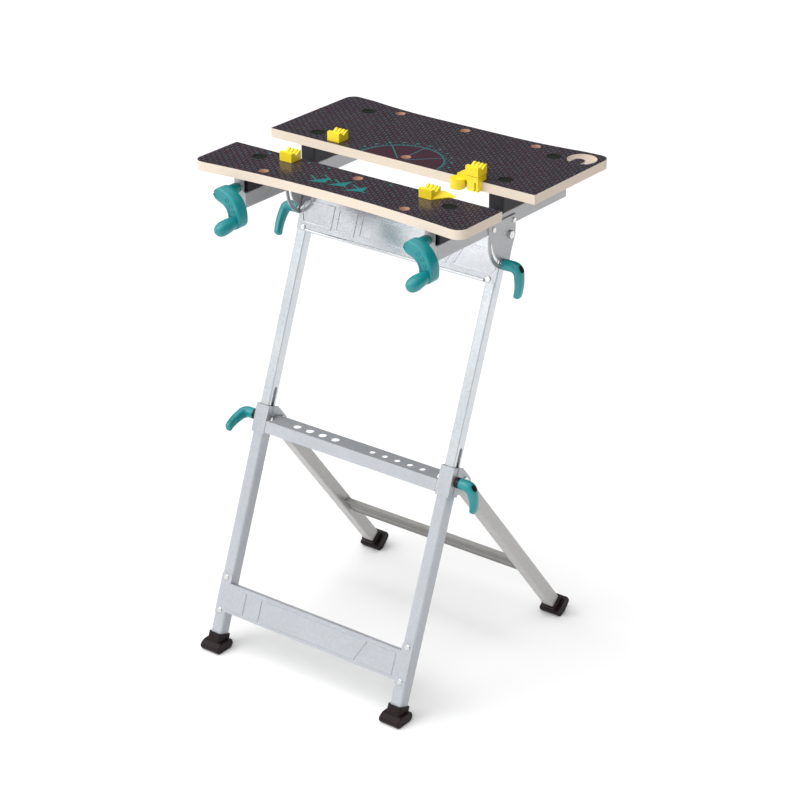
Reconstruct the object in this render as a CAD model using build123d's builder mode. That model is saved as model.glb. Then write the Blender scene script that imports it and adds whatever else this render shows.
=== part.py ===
from build123d import *
import os
from math import atan, sin, cos, radians, degrees, sqrt

os.makedirs("parts", exist_ok=True)

# ---------------------------------------------------------------- driving dimensions (mm)
frame_y = 41.421            # puts the middle of the footprint at y = 0
frame_z = -10.0             # puts the feet on the floor

# worktop
top_z = 1010.0            # top face; the working height is 10 mm less, see frame_z
board_t = 18.5            # faced plywood
board_len = 620.0
rear_y0, rear_y1, rear_waist = -6.5, 251.0, 235.0
front_y1, front_y0, front_waist = -109.0, -237.0, -218.5
corner_r = 20.0
hole_r = 10.0             # 20 mm dog holes
store_x, store_y, store_r = 271.5, 210.0, 29.0
cap_r, cap_pocket, cap_t = 14.5, 3.6, 2.2
jaw_x, jaw_rear_y, jaw_front_y = 162.5, 17.0, -127.0   # dog holes that hold the bench jaws
bolt_x = 221.0            # fixing bolts over the rails

# rails
rail_x0, rail_x1 = 206.0, 238.0
rail_z0, rail_z1 = 926.0, 958.0
rail_y0, rail_y1 = -208.0, 210.0
rail_t = 2.0
spindle_x, spindle_z, spindle_r = 221.0, 967.0, 5.0
clamp_travel = 66.0

# folding and sliding legs
lean = 0.371              # dy/dz of the front legs
th = atan(lean)
foot_y = -314.14          # where the front leg centre line meets the floor
leg_x = 225.5
low_w, low_d, low_t = 26.5, 27.0, 1.5
up_w, up_d, up_t = 22.5, 23.0, 1.4
t_low0, t_low1 = 20.0, 516.0
t_up0, t_up1 = 362.0, 980.0
t_clamp, t_pivot, p_pivot = 491.7, 969.3, 5.1
t_tilt, p_tilt = 912.8, 6.5
slot_r = 56.52
height_down, height_up = 60.0, 58.0
fold_y, fold_z = -115.5, 453.0
rear_slope = 0.796        # -dy/dz of the rear legs
splay = 0.02              # rear legs spread outwards going down
rear_w, rear_d, rear_t = 26.0, 27.0, 1.5

s_, c_ = sin(th), cos(th)


def leg_pt(t, p=0.0):
    """(y, z) of a point t along the front leg and p in front of its centre line."""
    return foot_y + t * s_ - p * c_, t * c_ + p * s_


def side(x):
    """Plane whose sketch x, y are the object's y, z; normal +X."""
    return Plane(origin=(x, frame_y, frame_z), x_dir=(0, 1, 0), z_dir=(1, 0, 0))


def flat(z):
    return Plane(origin=(0, frame_y, frame_z + z), x_dir=(1, 0, 0), z_dir=(0, 0, 1))


def across(t, x=0.0):
    """Plane square to the front leg: sketch x is world x, sketch y points backwards."""
    y, z = leg_pt(t)
    return Plane(origin=(x, frame_y + y, frame_z + z), x_dir=(1, 0, 0), z_dir=(0, s_, c_))


def face(p):
    """Plane along the front leg, p in front of its centre line, normal forward:
    sketch x is world x, sketch y is the distance t up the leg."""
    y, z = leg_pt(0, p)
    return Plane(origin=(0, frame_y + y, frame_z + z), x_dir=(1, 0, 0), z_dir=(0, -c_, s_))


def front(y):
    """Plane facing forward at y: sketch x is world x, sketch y is world z."""
    return Plane(origin=(0, frame_y + y, frame_z), x_dir=(1, 0, 0), z_dir=(0, -1, 0))


def save(part, name):
    part.label = name
    export_step(part, "parts/%s.step" % name)


def xbar(x, y, z):
    """Plane for a bolt or hub along X starting at x."""
    return Plane(origin=(x, frame_y + y, frame_z + z), x_dir=(0, 1, 0), z_dir=(1, 0, 0))


# ---------------------------------------------------------------- worktop boards
rear_caps = [(-bolt_x, 191.0), (bolt_x, 191.0), (-bolt_x, 29.6), (bolt_x, 29.6)]
front_caps = [(-bolt_x, -146.5), (bolt_x, -146.5)]
with BuildPart() as rear_board:
    with BuildSketch(flat(top_z - board_t)):
        with BuildLine():
            Polyline((-310, 250), (-310, rear_y0), (310, rear_y0), (310, 250))
            Line((310, 250), (287, 250.5))
            Line((287, 250.5), (250, 248.5))
            ThreePointArc((250, 248.5), (172, 238.6), (90, rear_waist))
            Line((90, rear_waist), (-90, rear_waist))
            ThreePointArc((-90, rear_waist), (-172, 238.6), (-250, 248.5))
            Line((-250, 248.5), (-287, 250.5))
            Line((-287, 250.5), (-310, 250))
        make_face()
        with Locations((-161.5, 217), (0, 210), (161.5, 217), (0, 18), (-jaw_x, jaw_rear_y), (jaw_x, jaw_rear_y)):
            Circle(hole_r, mode=Mode.SUBTRACT)
        with Locations((store_x, store_y)):
            Circle(store_r, mode=Mode.SUBTRACT)
        with Locations((store_x, store_y - 22)):
            Rectangle(23, 22)
        with Locations((store_x, store_y - 11)):
            Circle(11.5)
    extrude(amount=board_t)
    vertical = rear_board.edges().filter_by(Axis.Z)
    back = [e for e in vertical if abs(abs(e.center().X) - 310) < 0.1 and e.center().Y > frame_y + 200]
    fillet(back, corner_r)
    low = [e for e in rear_board.edges().filter_by(Axis.Z) if abs(abs(e.center().X) - 310) < 0.1 and e.center().Y < frame_y]
    fillet(low, 1.5)
    with BuildSketch(flat(top_z - cap_pocket)):
        with Locations(*rear_caps):
            Circle(cap_r)
    extrude(amount=10, mode=Mode.SUBTRACT)
save(rear_board.part, "rear_board")

with BuildPart() as front_board:
    with BuildSketch(flat(top_z - board_t)):
        with BuildLine():
            Polyline((-285, -236), (-310, front_y0), (-310, front_y1), (310, front_y1), (310, front_y0), (285, -236))
            ThreePointArc((285, -236), (0, front_waist), (-285, -236))
        make_face()
        with Locations((-163.5, -204.5), (163.5, -204.5), (0, -130), (-jaw_x, jaw_front_y), (jaw_x, jaw_front_y)):
            Circle(hole_r, mode=Mode.SUBTRACT)
    extrude(amount=board_t)
    vertical = front_board.edges().filter_by(Axis.Z)
    fillet([e for e in vertical if abs(abs(e.center().X) - 310) < 0.1 and e.center().Y < frame_y - 200], corner_r)
    fillet([e for e in front_board.edges().filter_by(Axis.Z) if abs(abs(e.center().X) - 310) < 0.1 and e.center().Y > frame_y - 120], 1.5)
    with BuildSketch(flat(top_z - cap_pocket)):
        with Locations(*front_caps):
            Circle(cap_r)
    extrude(amount=10, mode=Mode.SUBTRACT)
save(front_board.part, "front_board")

# caps over the fixing bolts, sunk into the boards
with BuildPart() as rear_board_caps:
    with BuildSketch(flat(top_z - cap_pocket)):
        with Locations(*rear_caps):
            Circle(cap_r - 0.05)
    extrude(amount=cap_t)
    fillet(rear_board_caps.edges().group_by(Axis.Z)[-1], 0.8)
save(rear_board_caps.part, "rear_board_bolt_caps")

with BuildPart() as front_board_caps:
    with BuildSketch(flat(top_z - cap_pocket)):
        with Locations(*front_caps):
            Circle(cap_r - 0.05)
    extrude(amount=cap_t)
    fillet(front_board_caps.edges().group_by(Axis.Z)[-1], 0.8)
save(front_board_caps.part, "front_board_bolt_caps")

# ---------------------------------------------------------------- rails (C channel, open below)
for sgn, nm in ((-1, "left"), (1, "right")):
    xm = sgn * (rail_x0 + rail_x1) / 2
    with BuildPart() as rail:
        with BuildSketch(front(rail_y0)):
            with Locations((xm, (rail_z0 + rail_z1) / 2)):
                RectangleRounded(rail_x1 - rail_x0, rail_z1 - rail_z0, 3.0)
            with Locations((xm, (rail_z0 + rail_z1) / 2)):
                RectangleRounded(rail_x1 - rail_x0 - 2 * rail_t, rail_z1 - rail_z0 - 2 * rail_t, 1.5, mode=Mode.SUBTRACT)
            with Locations((xm, rail_z0)):
                Rectangle(16, 8, mode=Mode.SUBTRACT)
        extrude(amount=-(rail_y1 - rail_y0))
        # closing plate bent across the front end, with its small hole
        with BuildSketch(front(rail_y0)):
            with Locations((xm, (rail_z0 + rail_z1) / 2)):
                Rectangle(rail_x1 - rail_x0 - 2 * rail_t + 0.4, rail_z1 - rail_z0 - 2 * rail_t + 0.4)
            with Locations((xm, rail_z0 + 20)):
                Circle(3.2, mode=Mode.SUBTRACT)
        extrude(amount=-2.0)
        # spindle bearing tongue standing up at the front end
        with BuildSketch(front(rail_y0)):
            with Locations((xm, (rail_z1 + 984) / 2 - 1)):
                Rectangle(22, 984 - rail_z1 + 2)
            with Locations((sgn * spindle_x, spindle_z)):
                Circle(spindle_r + 0.06, mode=Mode.SUBTRACT)
        extrude(amount=-3.0)
    save(rail.part, nm + "_rail")

# ---------------------------------------------------------------- supports under the rear board
with BuildPart() as supports:
    for sgn in (-1, 1):
        for y0, y1 in ((-2.0, 62.0), (160.0, 208.0)):
            with BuildSketch(flat(rail_z1)):
                with Locations((sgn * 222, (y0 + y1) / 2)):
                    RectangleRounded(34, y1 - y0, 3)
            extrude(amount=top_z - board_t - rail_z1)
save(supports.part, "rear_board_supports")

# ---------------------------------------------------------------- sliding carriers under the front board
for sgn, nm in ((-1, "left"), (1, "right")):
    with BuildPart() as carrier:
        with BuildSketch(flat(rail_z1 + 0.4)):
            with Locations((sgn * 222, -161)):
                RectangleRounded(34, 80, 3)
        extrude(amount=top_z - board_t - rail_z1 - 0.4)
        with BuildSketch(front(-201)):
            with Locations((sgn * spindle_x, spindle_z)):
                Circle(spindle_r + 1.0)
        extrude(amount=-80, mode=Mode.SUBTRACT)
        # pocket for the nut
        with BuildSketch(flat(rail_z1 + 0.4)):
            with Locations((sgn * spindle_x, -161)):
                Rectangle(20.2, 24.2)
        extrude(amount=18.0, mode=Mode.SUBTRACT)
    save(carrier.part, nm + "_carrier")
    with BuildPart() as nut:
        with BuildSketch(front(-161 - 12)):
            with Locations((sgn * spindle_x, spindle_z)):
                Rectangle(20, 17)
                Circle(spindle_r + 0.05, mode=Mode.SUBTRACT)
        extrude(amount=-24)
    save(nut.part, nm + "_spindle_nut")
    with BuildPart() as spindle:
        with BuildSketch(front(-258)):
            with Locations((sgn * spindle_x, spindle_z)):
                Circle(spindle_r)
        extrude(amount=-(258 - 48))
        # shoulder washers each side of the bearing tongue
        for y0 in (-211.2, -204.6):
            with BuildSketch(front(y0)):
                with Locations((sgn * spindle_x, spindle_z)):
                    Circle(8.5)
            extrude(amount=-(2.6 if y0 > -210 else 2.8) * 0.9)
    save(spindle.part, nm + "_spindle")

# ---------------------------------------------------------------- cranks
crank_dx, crank_dz = 35.0, -44.0
for sgn, nm in ((-1, "left"), (1, "right")):
    hx, hz = sgn * spindle_x, spindle_z
    kx, kz = hx + crank_dx, hz + crank_dz
    with BuildPart() as crank:
        with BuildSketch(front(-240)):
            with Locations((hx, hz)):
                Circle(14.5)
            with Locations((kx, kz)):
                Circle(14.0)
            with BuildLine():
                L = sqrt(crank_dx ** 2 + crank_dz ** 2)
                ux, uz = crank_dx / L, crank_dz / L
                nx, nz = -uz, ux
                Polyline((hx + 14.5 * nx, hz + 14.5 * nz), (kx + 14 * nx, kz + 14 * nz),
                         (kx - 14 * nx, kz - 14 * nz), (hx - 14.5 * nx, hz - 14.5 * nz),
                         (hx + 14.5 * nx, hz + 14.5 * nz))
            make_face()
        extrude(amount=22)
        fillet(crank.edges().group_by(Axis.Y)[0], 4.0)
        # hub reaching back over the spindle
        with BuildSketch(front(-213.5)):
            with Locations((hx, hz)):
                Circle(10.5)
        extrude(amount=27)
        # domed knob
        with BuildSketch(front(-261)):
            with Locations((kx, kz)):
                Circle(12.5)
        extrude(amount=42, taper=-2.0)
        fillet(crank.edges().group_by(Axis.Y)[0], 8.0)
        with BuildSketch(front(-258)):
            with Locations((hx, hz)):
                Circle(spindle_r)
        extrude(amount=-60, mode=Mode.SUBTRACT)
    save(crank.part, nm + "_crank")

# ---------------------------------------------------------------- swivel plates
pv = leg_pt(t_pivot, p_pivot)
tb = leg_pt(t_tilt, p_tilt)


def polar(r, deg):
    return pv[0] + r * cos(radians(deg)), pv[1] + r * sin(radians(deg))


for sgn, nm in ((-1, "left"), (1, "right")):
    x0 = 238.0 if sgn > 0 else -241.0
    with BuildPart() as plate:
        with BuildSketch(side(x0)):
            with BuildLine():
                a0, a1 = polar(67, 166), polar(67, 262)
                am = polar(67, 214)
                Line((-50.0, 946.0), (37.0, 946.0))
                Line((37.0, 946.0), (37.0, 906.0))
                Line((37.0, 906.0), (26.0, 880.0))
                Line((26.0, 880.0), (19.0, 858.0))
                Line((19.0, 858.0), a1)
                ThreePointArc(a1, am, a0)
                Line(a0, (-50.0, 946.0))
            make_face()
            # curved slot
            with BuildLine():
                i0, i1, im = polar(slot_r - 3.4, 185), polar(slot_r - 3.4, 250), polar(slot_r - 3.4, 218)
                o0, o1, om = polar(slot_r + 3.4, 185), polar(slot_r + 3.4, 250), polar(slot_r + 3.4, 218)
                ThreePointArc(i0, im, i1)
                Line(i1, o1)
                ThreePointArc(o1, om, o0)
                Line(o0, i0)
            make_face(mode=Mode.SUBTRACT)
            with Locations(polar(slot_r, 185), polar(slot_r, 250)):
                Circle(3.4, mode=Mode.SUBTRACT)
            with Locations(pv):
                Circle(5.06, mode=Mode.SUBTRACT)
        extrude(amount=3.0)
        # turned rim round the slotted edge
        with BuildSketch(side(x0)):
            with BuildLine():
                b0, b1, bm = polar(67, 176), polar(67, 258), polar(67, 217)
                d0, d1, dm = polar(65, 176), polar(65, 258), polar(65, 217)
                ThreePointArc(b0, bm, b1)
                Line(b1, d1)
                ThreePointArc(d1, dm, d0)
                Line(d0, b0)
            make_face()
        extrude(amount=3.0)
    save(plate.part, nm + "_swivel_plate")

with BuildPart() as rivets:
    for sgn in (-1, 1):
        x0 = sgn * 241.0
        for y, z in ((-34.6, 935.0), (31.0, 935.0)):
            with BuildSketch(xbar(x0, y, z)):
                Circle(5.0)
            extrude(amount=sgn * 2.0)
save(rivets.part, "swivel_plate_rivets")

# pivot bolts: fixed in the upper legs, the swivel plates turn on them
with BuildPart() as pivots:
    for sgn in (-1, 1):
        with BuildSketch(xbar(sgn * 211.0, pv[0], pv[1])):
            Circle(5.0)
        extrude(amount=sgn * 32.0)
        with BuildSketch(xbar(sgn * 241.5, pv[0], pv[1])):
            RegularPolygon(8.0, 6)
        extrude(amount=sgn * 5.0)
        with BuildSketch(xbar(sgn * 236.75, pv[0], pv[1])):
            Circle(9.0)
        extrude(amount=sgn * 0.95)
save(pivots.part, "tilt_pivot_bolts")

# ---------------------------------------------------------------- upper legs
for sgn, nm in ((-1, "left"), (1, "right")):
    xc = sgn * leg_x
    with BuildPart() as up:
        with BuildSketch(across(t_up0, xc)):
            RectangleRounded(up_w, up_d, 3.5)
            RectangleRounded(up_w - 2 * up_t, up_d - 2 * up_t, 2.1, mode=Mode.SUBTRACT)
        extrude(amount=t_up1 - t_up0)
        # slot for the height clamp through both side walls
        with BuildSketch(side(xc - 14)):
            a = leg_pt(t_clamp - height_up - 0.5)
            b = leg_pt(t_clamp + height_down + 0.5)
            mid = ((a[0] + b[0]) / 2, (a[1] + b[1]) / 2)
            with Locations(mid):
                SlotCenterToCenter(height_up + height_down + 1.0, 9.0, rotation=90 - degrees(th))
        extrude(amount=28, mode=Mode.SUBTRACT)
        # holes for the pivot and tilt clamp bolts
        with BuildSketch(xbar(xc - 14, pv[0], pv[1])):
            Circle(5.0)
        extrude(amount=28, mode=Mode.SUBTRACT)
        with BuildSketch(xbar(xc - 14, tb[0], tb[1])):
            Circle(3.0)
        extrude(amount=28, mode=Mode.SUBTRACT)
        # threaded hole for the apron screw
        with BuildSketch(face(12.5)):
            with Locations((sgn * 221.0, 879.0)):
                Circle(2.5)
        extrude(amount=-5, mode=Mode.SUBTRACT)
    save(up.part, nm + "_upper_leg")

# ---------------------------------------------------------------- apron between the upper legs
ap0, ap1 = 11.6, 13.1     # sheet, measured in front of the leg centre line
ap_t0, ap_t1 = 872.0, 958.0
ap_screws = [(-221.0, 879.0), (221.0, 879.0)]


def screws(name, spots, p, head_r, head_h, shank_r, shank):
    with BuildPart() as sc:
        for x, t in spots:
            with BuildSketch(face(p)):
                with Locations((x, t)):
                    Circle(head_r)
            extrude(amount=head_h)
        fillet([e for e in sc.edges().filter_by(GeomType.CIRCLE)
                if (e.center() - face(p + head_h).origin).dot(face(0).z_dir) > -0.05], 1.5)
        for x, t in spots:
            with BuildSketch(face(p)):
                with Locations((x, t)):
                    Circle(shank_r)
            extrude(amount=-shank)
    save(sc.part, name)


with BuildPart() as apron:
    with BuildSketch(face(ap0)):
        with Locations((0, (ap_t0 + ap_t1) / 2)):
            RectangleRounded(473, ap_t1 - ap_t0, 6)
        with Locations(*ap_screws):
            Circle(2.5, mode=Mode.SUBTRACT)
    extrude(amount=ap1 - ap0)
    # stiffening flanges folded back along the top and bottom edges
    with BuildSketch(face(ap0)):
        with Locations((0, ap_t1 - 0.75), (0, ap_t0 + 0.75)):
            Rectangle(423, 1.5)
    extrude(amount=-12)
    # rolled lip along the lower edge
    with BuildSketch(side(-213)):
        with Locations(leg_pt(ap_t0 + 3.0, ap1 + 0.8)):
            Circle(3.2)
    extrude(amount=426)
    # raised frames pressed into the sheet
    with BuildSketch(face(ap1)):
        for pts in (((-233, 905), (-225, 886), (-154, 886), (-154, 934), (-226, 934), (-233, 926)),
                    ((-146, 886), (-98, 886), (-98, 934), (-146, 934)),
                    ((-89, 886), (120, 886), (142, 934), (-89, 934)),
                    ((131, 886), (222, 886), (233, 900), (233, 926), (226, 934), (153, 934))):
            with BuildLine():
                Polyline(*pts, close=True)
            make_face()
            with BuildLine() as ring:
                Polyline(*pts, close=True)
            make_face(offset(ring.wires()[0], amount=-5.0).edges(), mode=Mode.SUBTRACT)
    extrude(amount=1.4)
    fillet(apron.faces().filter_by(lambda f: abs((f.center() - face(ap1 + 1.4).origin).dot(face(0).z_dir)) < 0.05).edges(), 0.9)
save(apron.part, "apron")
screws("apron_screws", ap_screws, ap1, 5.6, 2.8, 2.5, 4.5)

# ---------------------------------------------------------------- clamp bolts
cl = leg_pt(t_clamp)
with BuildPart() as tilt_bolts:
    for sgn in (-1, 1):
        with BuildSketch(xbar(sgn * 206.0, tb[0], tb[1])):
            Circle(3.0)
        extrude(amount=sgn * 52.0)
        with BuildSketch(xbar(sgn * 208.5, tb[0], tb[1])):
            RegularPolygon(5.0, 6)
        extrude(amount=sgn * 5.6)
save(tilt_bolts.part, "tilt_clamp_bolts")

with BuildPart() as height_bolts:
    for sgn in (-1, 1):
        with BuildSketch(xbar(sgn * 202.0, cl[0], cl[1])):
            Circle(4.0)
        extrude(amount=sgn * 62.0)
        with BuildSketch(xbar(sgn * 202.5, cl[0], cl[1])):
            RegularPolygon(7.5, 6)
        extrude(amount=sgn * 6.0)
save(height_bolts.part, "height_clamp_bolts")

with BuildPart() as fold_bolts:
    for sgn in (-1, 1):
        with BuildSketch(xbar(sgn * 205.0, fold_y, fold_z)):
            Circle(5.0)
        extrude(amount=sgn * 40.0)
        with BuildSketch(xbar(sgn * 242.4, fold_y, fold_z)):
            Circle(8.0)
        extrude(amount=sgn * 3.0)
        with BuildSketch(xbar(sgn * 203.0, fold_y, fold_z)):
            RegularPolygon(8.0, 6)
        extrude(amount=sgn * 5.6)
save(fold_bolts.part, "fold_pivot_bolts")

# ---------------------------------------------------------------- lower legs, collars
cb_screws = [(-226.0, 92.3), (226.0, 92.3), (-226.0, 161.0), (226.0, 161.0)]
for sgn, nm in ((-1, "left"), (1, "right")):
    xc = sgn * leg_x
    with BuildPart() as low:
        with BuildSketch(across(t_low0, xc)):
            RectangleRounded(low_w, low_d, 4.5)
            RectangleRounded(low_w - 2 * low_t, low_d - 2 * low_t, 3.0, mode=Mode.SUBTRACT)
        extrude(amount=t_low1 - t_low0)
        with BuildSketch(xbar(xc - 15, cl[0], cl[1])):
            Circle(4.0)
        extrude(amount=30, mode=Mode.SUBTRACT)
        with BuildSketch(face(low_d / 2 + 1)):
            with Locations(*[q for q in cb_screws if q[0] * sgn > 0]):
                Circle(2.5)
        extrude(amount=-4, mode=Mode.SUBTRACT)
    save(low.part, nm + "_lower_leg")

    with BuildPart() as collar:
        with BuildSketch(across(461.0, xc)):
            Rectangle(30.7, 29.6 + 1.6)
            with Locations((0, 1.2)):
                Rectangle(26.7, 29.6 + 1.2 - 0.4 + 2, mode=Mode.SUBTRACT)
        extrude(amount=57.5)
        for x0 in (xc - 16.85, xc + 14.85):
            with BuildSketch(side(x0)):
                with BuildLine():
                    Polyline(leg_pt(518.4, 0.0), leg_pt(518.4, -14.5), (-96.5, 451.0), (-95.5, 443.0),
                             (-104.0, 436.0), (-132.7, 431.5), leg_pt(461.2, -2.0), leg_pt(461.2, 0.0), leg_pt(518.4, 0.0))
                make_face()
            extrude(amount=2.0)
        for q, r in ((cl, 4.0), ((fold_y, fold_z), 5.0)):
            with BuildSketch(xbar(xc - 20, q[0], q[1])):
                Circle(r)
            extrude(amount=40, mode=Mode.SUBTRACT)
    save(collar.part, nm + "_collar")

# ---------------------------------------------------------------- middle crossbar
with BuildPart() as mid:
    with BuildSketch(side(-208.5)):
        with BuildLine():
            Polyline(leg_pt(465.0, 15.6), leg_pt(488.7, 15.6), (-121.8, 463.64), (-121.8, 455.6), (-123.3, 455.6),
                     (-123.3, 462.14), leg_pt(487.63, 14.1), leg_pt(466.5, 14.1),
                     leg_pt(466.5, 4.0), leg_pt(465.0, 4.0), leg_pt(465.0, 15.6))
        make_face()
    extrude(amount=417)
    # two rows of tool holes in the shelf
    with BuildSketch(flat(457.5)):
        with Locations(*[(-144 + 31.7 * k, -141.5) for k in range(4)]):
            Circle(8.3)
        with Locations(*[(42 + 30.0 * k, -141.5) for k in range(5)]):
            Circle(6.0)
    extrude(amount=20, mode=Mode.SUBTRACT)
    # room for the clamp bolt nuts at both ends
    for sgn in (-1, 1):
        for y, z, r in ((cl[0], cl[1], 9.4), (fold_y, fold_z, 9.6)):
            with BuildSketch(xbar(sgn * 201.0, y, z)):
                Circle(r)
            extrude(amount=sgn * 10.0, mode=Mode.SUBTRACT)
save(mid.part, "middle_crossbar")

# ---------------------------------------------------------------- lower crossbar panel
with BuildPart() as lcb:
    with BuildSketch(face(13.6)):
        with Locations((0, 121.1)):
            Rectangle(428, 59.2)
        for sgn in (-1, 1):
            with Locations((sgn * 225.2, 126.5)):
                RectangleRounded(24.6, 85, 4)
        with Locations(*cb_screws):
            Circle(2.5, mode=Mode.SUBTRACT)
    extrude(amount=1.5)
    with BuildSketch(face(13.6)):
        with Locations((0, 149.95), (0, 92.25)):
            Rectangle(423.4, 1.5)
    extrude(amount=-13.6)
    with BuildSketch(face(15.1)):
        with BuildLine():
            Polyline((-204, 98), (-168, 98), (-168, 143), (-204, 143), (-204, 98))
        make_face()
        with BuildLine():
            Polyline((-160, 98), (-128, 98), (-128, 143), (-160, 143), (-160, 98))
        make_face()
        with BuildLine():
            Polyline((-119, 98), (112, 98), (134, 143), (-119, 143), (-119, 98))
        make_face()
        with BuildLine():
            Polyline((122, 98), (204, 98), (204, 143), (144, 143), (122, 98))
        make_face()
    extrude(amount=1.6, taper=30)
save(lcb.part, "lower_crossbar")
screws("crossbar_screws", cb_screws, 15.1, 5.4, 2.6, 2.5, 4.5)

# ---------------------------------------------------------------- front feet
for sgn, nm in ((-1, "left"), (1, "right")):
    xc = sgn * leg_x
    with BuildPart() as foot:
        # rounded pad
        with BuildSketch(side(xc - 23.0)):
            with BuildLine():
                Line((-325.0, 10.0), (-297.0, 10.0))
                ThreePointArc((-297.0, 10.0), (-288.5, 13.5), (-285.0, 21.0))
                Polyline((-285.0, 21.0), (-287.5, 27.5), (-297.0, 31.0), (-322.0, 30.0), (-331.0, 25.0))
                ThreePointArc((-331.0, 25.0), (-333.0, 16.5), (-325.0, 10.0))
            make_face()
        extrude(amount=46.0)
        fillet(foot.edges().filter_by(lambda e: abs(abs(e.center().X - xc) - 23.0) < 0.1), 2.0)
        # socket round the leg
        with BuildSketch(across(17.0, xc)):
            RectangleRounded(33.5, 34.0, 7.0)
        extrude(amount=27.5)
        with BuildSketch(across(t_low0 - 0.1, xc)):
            RectangleRounded(low_w + 0.1, low_d + 0.1, 4.5)
        extrude(amount=60.0, mode=Mode.SUBTRACT)
    save(foot.part, nm + "_front_foot")

# ---------------------------------------------------------------- rear legs
s_pad = 554.5             # distance from the fold pivot to the underside of the rear pads
for sgn, nm in ((-1, "left"), (1, "right")):
    dv = Vector(sgn * splay, rear_slope, -1).normalized()
    lat = (Vector(1, 0, 0) - dv * dv.X).normalized()
    org = Vector(sgn * leg_x, frame_y + fold_y, frame_z + fold_z)
    lp = Plane(origin=org, x_dir=dv, z_dir=lat)
    s_end = s_pad - 12.0
    with BuildPart() as leg:
        with BuildSketch(lp):
            Circle(rear_d / 2)
            with Locations((s_end / 2, 0)):
                Rectangle(s_end, rear_d)
        extrude(amount=rear_w / 2, both=True)
        fillet(leg.edges().filter_by(lambda e: e.length > 300), 3.5)
        with BuildSketch(lp):
            Circle(rear_d / 2 - rear_t)
            with Locations((s_end / 2 + 5, 0)):
                Rectangle(s_end + 10, rear_d - 2 * rear_t)
        extrude(amount=rear_w / 2 - rear_t, both=True, mode=Mode.SUBTRACT)
        with BuildSketch(xbar(sgn * leg_x - 20, fold_y, fold_z)):
            Circle(5.06)
        extrude(amount=40, mode=Mode.SUBTRACT)
    save(leg.part, nm + "_rear_leg")

    with BuildPart() as foot:
        # pad square to the leg with a rocker underside
        with BuildSketch(lp):
            with BuildLine():
                ThreePointArc((s_pad - 7.0, -20.5), (s_pad - 1.9, -18.3), (s_pad, -13.0))
                ThreePointArc((s_pad, -13.0), (s_pad + 2.2, 3.0), (s_pad - 1.0, 19.0))
                Polyline((s_pad - 1.0, 19.0), (s_pad - 4.0, 22.0), (s_pad - 14.0, 22.5), (s_pad - 17.0, 18.0),
                         (s_pad - 18.0, -17.5), (s_pad - 14.5, -21.0), (s_pad - 7.0, -20.5))
            make_face()
        extrude(amount=23.0, both=True)
        with BuildSketch(Plane(origin=org + dv * (s_pad - 31.0), x_dir=lat, z_dir=dv)):
            RectangleRounded(33.0, 33.5, 6.0)
        extrude(amount=15.0)
        with BuildSketch(flat(-10)):
            Rectangle(900, 900)
        extrude(amount=20.0, mode=Mode.SUBTRACT)
        with BuildSketch(lp):
            with Locations((s_end - 40.0 + 0.1, 0)):
                Rectangle(80.0, rear_d + 0.1)
        extrude(amount=rear_w / 2 + 0.05, both=True, mode=Mode.SUBTRACT)
    save(foot.part, nm + "_rear_foot")

# ---------------------------------------------------------------- rear strut
e_y, e_z = rear_slope / sqrt(1 + rear_slope ** 2), -1 / sqrt(1 + rear_slope ** 2)


def strut_pt(s, n):
    """(y, z) of a point s down the rear leg from the pivot and n behind its centre line."""
    return fold_y + s * e_y - n * e_z, fold_z + s * e_z + n * e_y


st0, st1 = 345.0, 393.5
with BuildPart() as strut:
    with BuildSketch(side(-213.5)):
        with BuildLine():
            Polyline(strut_pt(st0, 4), strut_pt(st0, -4), strut_pt(st1, -4), strut_pt(st1, 9),
                     strut_pt(st1 - 1.5, 9), strut_pt(st1 - 1.5, -2.5), strut_pt(st0 + 1.5, -2.5),
                     strut_pt(st0 + 1.5, 4), strut_pt(st0, 4))
        make_face()
        with Locations(strut_pt(st0 + 3, -3), strut_pt(st1 - 3, -3)):
            Circle(3.0)
    extrude(amount=427.0)
    with BuildSketch(side(-205.0)):
        with BuildLine():
            Polyline(strut_pt(st0 + 14, -3.9), strut_pt(st0 + 19, -6.5), strut_pt(st1 - 19, -6.5),
                     strut_pt(st1 - 14, -3.9), strut_pt(st0 + 14, -3.9))
        make_face()
    extrude(amount=410.0)
    # welding tabs against the insides of the legs
    x_in = leg_x + splay * 0.7824 * (st0 + st1) / 2 - rear_w / 2 - 0.6
    for sgn in (-1, 1):
        with BuildSketch(side(sgn * (x_in - 16.0))):
            with BuildLine():
                Polyline(strut_pt(st0 + 6, -3.9), strut_pt(st0 + 6, 2), strut_pt(st1 - 6, 2),
                         strut_pt(st1 - 6, -3.9), strut_pt(st0 + 6, -3.9))
            make_face()
        extrude(amount=sgn * 16.0)
save(strut.part, "rear_strut")

# ---------------------------------------------------------------- clamp levers


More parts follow.
